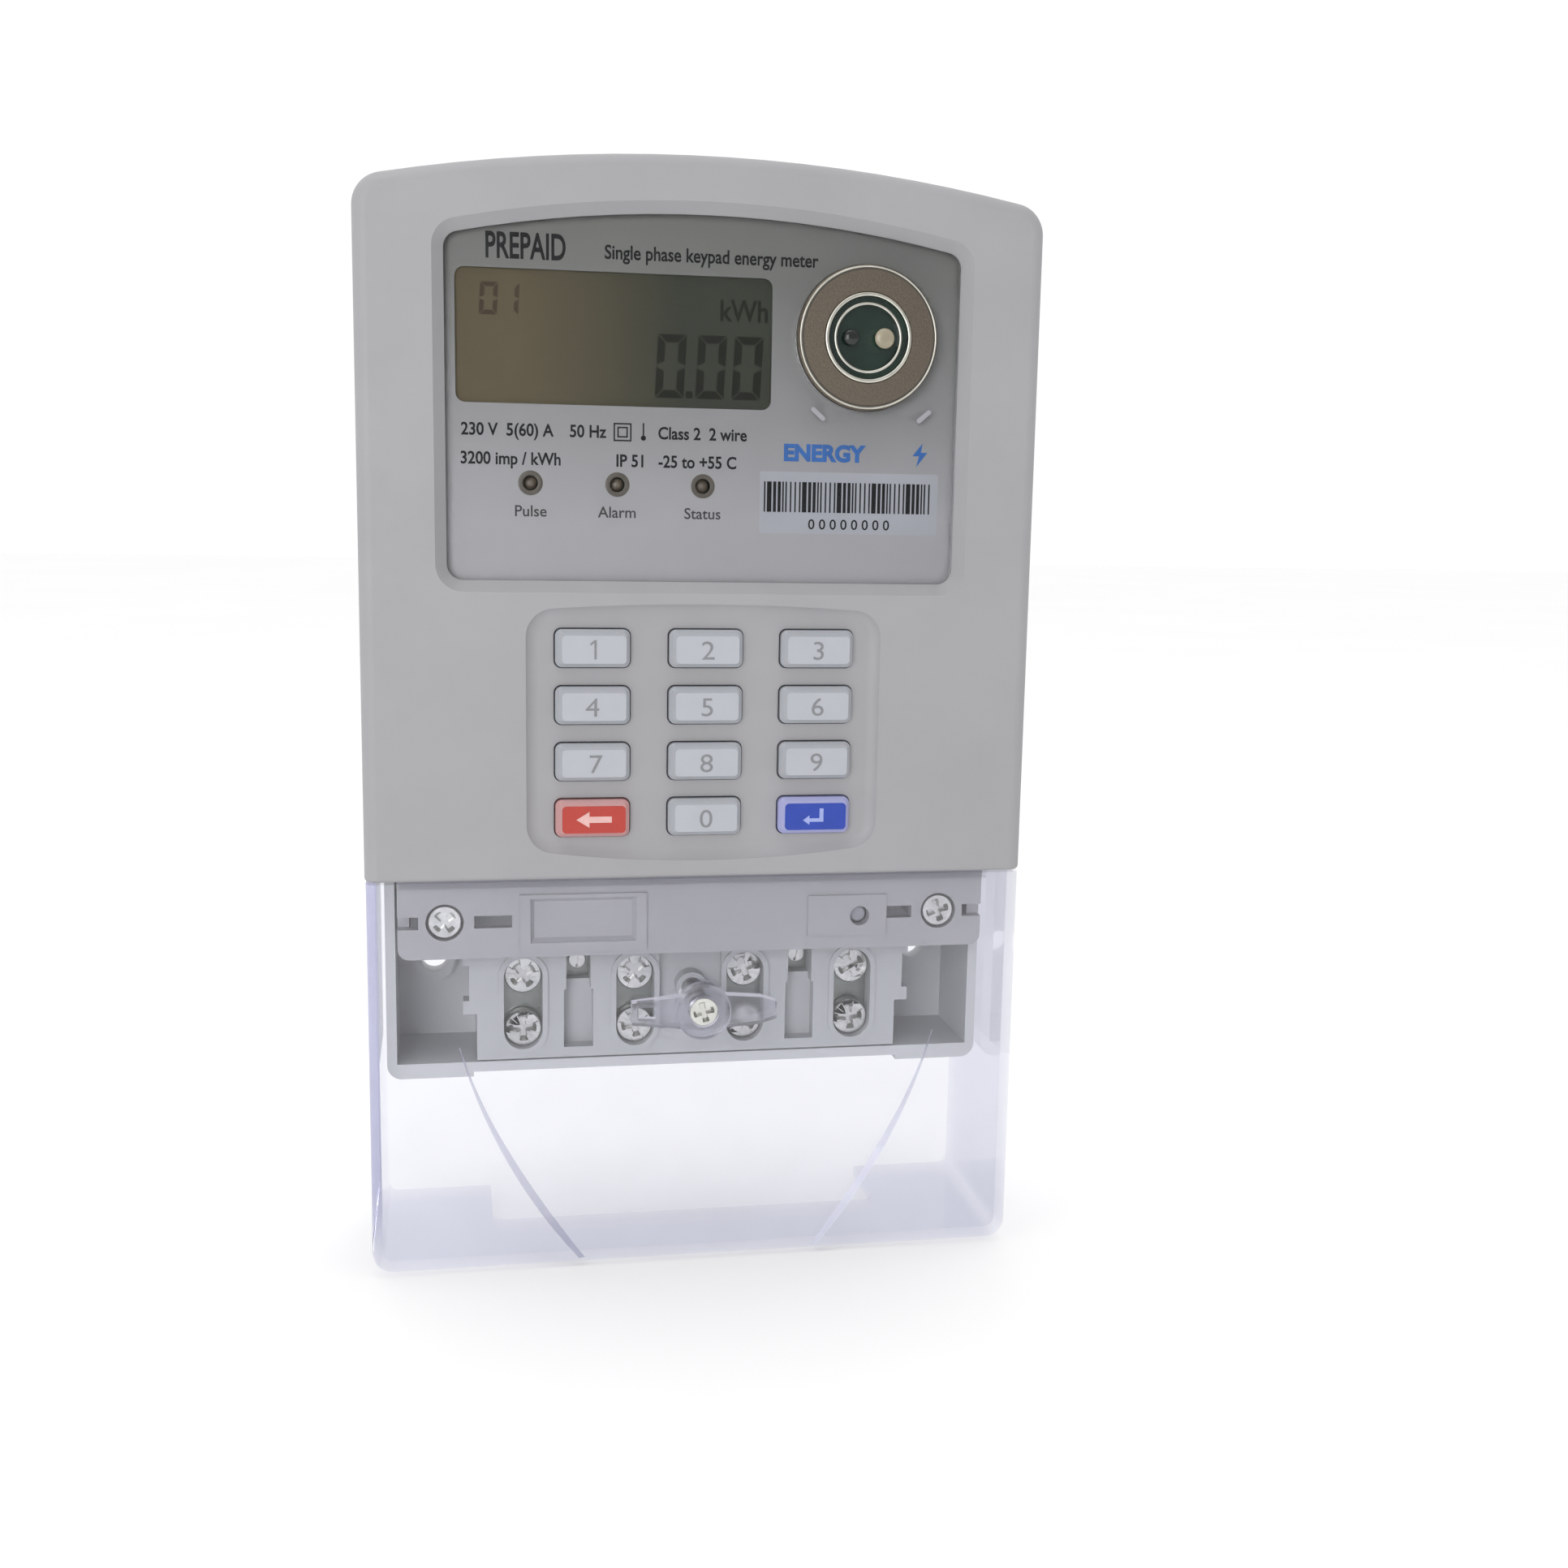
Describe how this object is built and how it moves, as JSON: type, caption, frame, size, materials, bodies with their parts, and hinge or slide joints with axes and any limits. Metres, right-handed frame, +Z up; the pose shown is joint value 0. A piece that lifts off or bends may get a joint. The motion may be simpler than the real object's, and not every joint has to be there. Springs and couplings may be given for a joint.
{
  "type": "prepaid electricity meter",
  "caption": "Wall-mounted single-phase electricity meter with keypad, display, optical port and a clear removable terminal cover.",
  "frame": {"origin": "on the wall face, on the centre line, level with the split between front cover and terminal cover", "axes": "+X to the right seen from the front, -Y out of the front face, +Y into the wall, +Z up"},
  "size_m": [0.13, 0.045, 0.215],
  "materials": {
    "case_plastic": "fine matt texture",
    "block_plastic": "smooth matt",
    "clear_plastic": "polished clear",
    "label_print": "printed silver-grey",
    "lcd": "polarised display",
    "white_plastic": "satin",
    "ring_steel": "blasted nickel",
    "dark_window": "dark green polished",
    "diode_clear": "clear lens",
    "diode_dark": "smoked lens",
    "key_white": "satin",
    "key_red": "satin",
    "key_blue": "satin",
    "rubber": "matt",
    "board": "solder mask",
    "zinc_steel": "bright zinc",
    "component_black": "moulded",
    "component_colour": "coated",
    "copper": "bare strip",
    "brass": "nickel-plated brass"
  },
  "bodies": {
    "case": {"aux_terminal_screws": "zinc_steel", "aux_terminals": "brass", "backup_battery": "component_colour", "base_case": "case_plastic", "board_connector": "component_black", "buzzer": "component_black", "cover_gasket": "rubber", "cover_screws": "zinc_steel", "current_shunt": "copper", "film_capacitor": "component_colour", "front_cover": "case_plastic", "front_pcb": "board", "front_pcb_screws": "zinc_steel", "hanger_plate": "zinc_steel", "indicator_leds": "diode_dark", "ir_led": "diode_clear", "key_mat": "rubber", "label_plate": "label_print", "latching_relay": "component_black", "lcd_glass": "lcd", "lcd_light_box": "white_plastic", "line_busbar": "copper", "neutral_busbar": "copper", "optical_port_ring": "ring_steel", "optical_window": "dark_window", "phototransistor": "diode_dark", "power_pcb": "board", "power_pcb_screws": "zinc_steel", "seal_insert": "brass", "service_switch": "component_black", "supply_capacitor": "component_black", "terminal_block": "block_plastic", "terminal_line_in": "brass", "terminal_line_out": "brass", "terminal_neutral_in": "brass", "terminal_neutral_out": "brass", "terminal_screws": "zinc_steel", "varistor": "component_colour", "window_panel": "clear_plastic"},
    "key_1": {"key_1": "key_white"},
    "key_2": {"key_2": "key_white"},
    "key_3": {"key_3": "key_white"},
    "key_4": {"key_4": "key_white"},
    "key_5": {"key_5": "key_white"},
    "key_6": {"key_6": "key_white"},
    "key_7": {"key_7": "key_white"},
    "key_8": {"key_8": "key_white"},
    "key_9": {"key_9": "key_white"},
    "key_0": {"key_0": "key_white"},
    "key_backspace": {"key_backspace": "key_red"},
    "key_enter": {"key_enter": "key_blue"},
    "terminal_cover": {"terminal_cover": "clear_plastic"},
    "seal_knob": {"seal_wing": "clear_plastic", "seal_screw": "zinc_steel"},
    "service_plunger": {"service_button": "white_plastic"}
  },
  "joints": [
    {"name": "press_1", "type": "slide", "parent": "case", "child": "key_1", "axis": [0, 1, 0], "range_m": [0, 0.001], "stiffness_N_per_m": 500},
    {"name": "press_2", "type": "slide", "parent": "case", "child": "key_2", "axis": [0, 1, 0], "range_m": [0, 0.001], "stiffness_N_per_m": 500},
    {"name": "press_3", "type": "slide", "parent": "case", "child": "key_3", "axis": [0, 1, 0], "range_m": [0, 0.001], "stiffness_N_per_m": 500},
    {"name": "press_4", "type": "slide", "parent": "case", "child": "key_4", "axis": [0, 1, 0], "range_m": [0, 0.001], "stiffness_N_per_m": 500},
    {"name": "press_5", "type": "slide", "parent": "case", "child": "key_5", "axis": [0, 1, 0], "range_m": [0, 0.001], "stiffness_N_per_m": 500},
    {"name": "press_6", "type": "slide", "parent": "case", "child": "key_6", "axis": [0, 1, 0], "range_m": [0, 0.001], "stiffness_N_per_m": 500},
    {"name": "press_7", "type": "slide", "parent": "case", "child": "key_7", "axis": [0, 1, 0], "range_m": [0, 0.001], "stiffness_N_per_m": 500},
    {"name": "press_8", "type": "slide", "parent": "case", "child": "key_8", "axis": [0, 1, 0], "range_m": [0, 0.001], "stiffness_N_per_m": 500},
    {"name": "press_9", "type": "slide", "parent": "case", "child": "key_9", "axis": [0, 1, 0], "range_m": [0, 0.001], "stiffness_N_per_m": 500},
    {"name": "press_0", "type": "slide", "parent": "case", "child": "key_0", "axis": [0, 1, 0], "range_m": [0, 0.001], "stiffness_N_per_m": 500},
    {"name": "press_backspace", "type": "slide", "parent": "case", "child": "key_backspace", "axis": [0, 1, 0], "range_m": [0, 0.001], "stiffness_N_per_m": 500},
    {"name": "press_enter", "type": "slide", "parent": "case", "child": "key_enter", "axis": [0, 1, 0], "range_m": [0, 0.001], "stiffness_N_per_m": 500},
    {"name": "cover_slide", "type": "slide", "parent": "case", "child": "terminal_cover", "axis": [0, -1, 0], "range_m": [0, 0.06]},
    {"name": "seal_turn", "type": "hinge", "parent": "terminal_cover", "child": "seal_knob", "pos_m": [0, -0.0435, -0.02675], "axis": [0, -1, 0], "continuous": true},
    {"name": "button_press", "type": "slide", "parent": "case", "child": "service_plunger", "axis": [0, 1, 0], "range_m": [0, 0.0008], "stiffness_N_per_m": 200}
  ]
}
